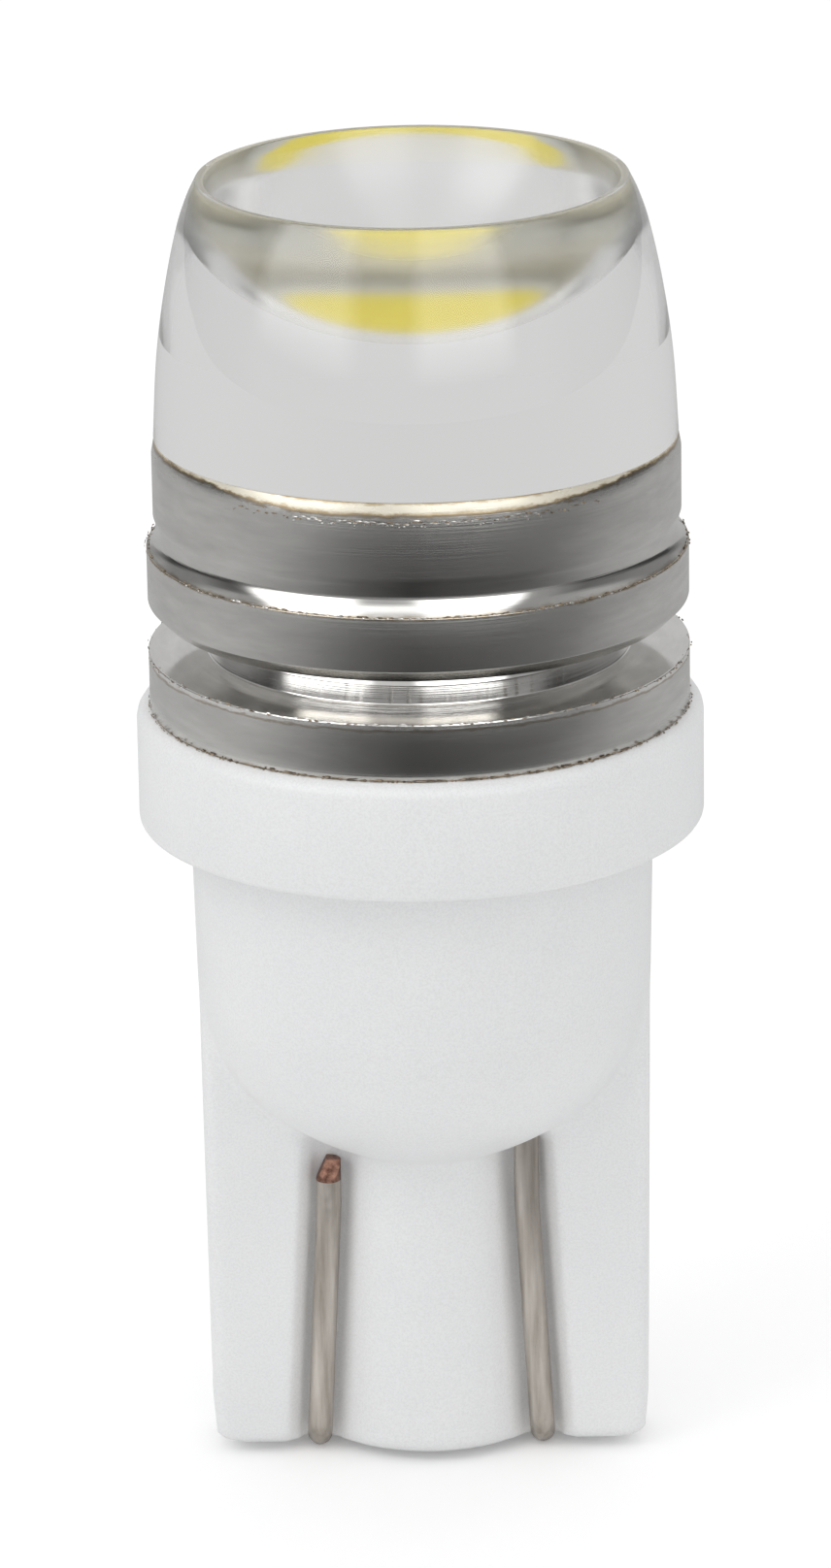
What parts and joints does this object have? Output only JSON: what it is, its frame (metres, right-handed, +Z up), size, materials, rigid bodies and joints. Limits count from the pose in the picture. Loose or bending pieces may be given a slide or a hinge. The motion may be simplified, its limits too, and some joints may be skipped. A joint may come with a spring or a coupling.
{
  "type": "wedge base led bulb",
  "caption": "Wedge base LED bulb: clear bowl-topped lens on a finned turned aluminium heat sink, white moulded base, bent contact wires.",
  "frame": {"origin": "on the bulb's axis, level with the lowest point of the contact wires under the blade", "axes": "+Z up the axis from the blade to the lens, X across the blade's width, Y through its thickness"},
  "size_m": [0.0116, 0.0116, 0.0273],
  "materials": {
    "clear_acrylic": "clear moulded acrylic, polished",
    "turned_aluminium": "turned, fine circumferential tool marks",
    "white_moulding": "white nylon moulding, satin",
    "tinned_wire": "tinned copper wire, dull grey",
    "board_aluminium": "aluminium-core board, white solder mask",
    "copper_slug": "plated copper",
    "white_frame": "white moulded frame",
    "die_ceramic": "semiconductor die",
    "yellow_phosphor": "silicone filled with yellow phosphor",
    "lead_metal": "tinned lead",
    "green_laminate": "glass-fibre laminate with green mask",
    "black_chip": "black moulded chip",
    "tan_ceramic": "fired ceramic",
    "dark_ceramic": "glazed film resistor",
    "solder": "solder, bright grey",
    "red_insulation": "red wire insulation",
    "black_insulation": "black wire insulation"
  },
  "bodies": {
    "root": {"lens": "clear_acrylic", "heat_sink": "turned_aluminium", "wedge_base": "white_moulding", "contact_wire_left": "tinned_wire", "contact_wire_right": "tinned_wire", "led_board": "board_aluminium", "led_slug": "copper_slug", "led_frame": "white_frame", "led_die": "die_ceramic", "led_phosphor": "yellow_phosphor", "led_lead_plus": "lead_metal", "led_lead_minus": "lead_metal", "driver_board": "green_laminate", "rectifier_chip": "black_chip", "regulator_chip": "black_chip", "chip_capacitor": "tan_ceramic", "chip_resistor_1": "dark_ceramic", "chip_resistor_2": "dark_ceramic", "solder_joint_left": "solder", "solder_joint_right": "solder", "feed_wire_plus": "red_insulation", "feed_wire_minus": "black_insulation"}
  },
  "joints": []
}
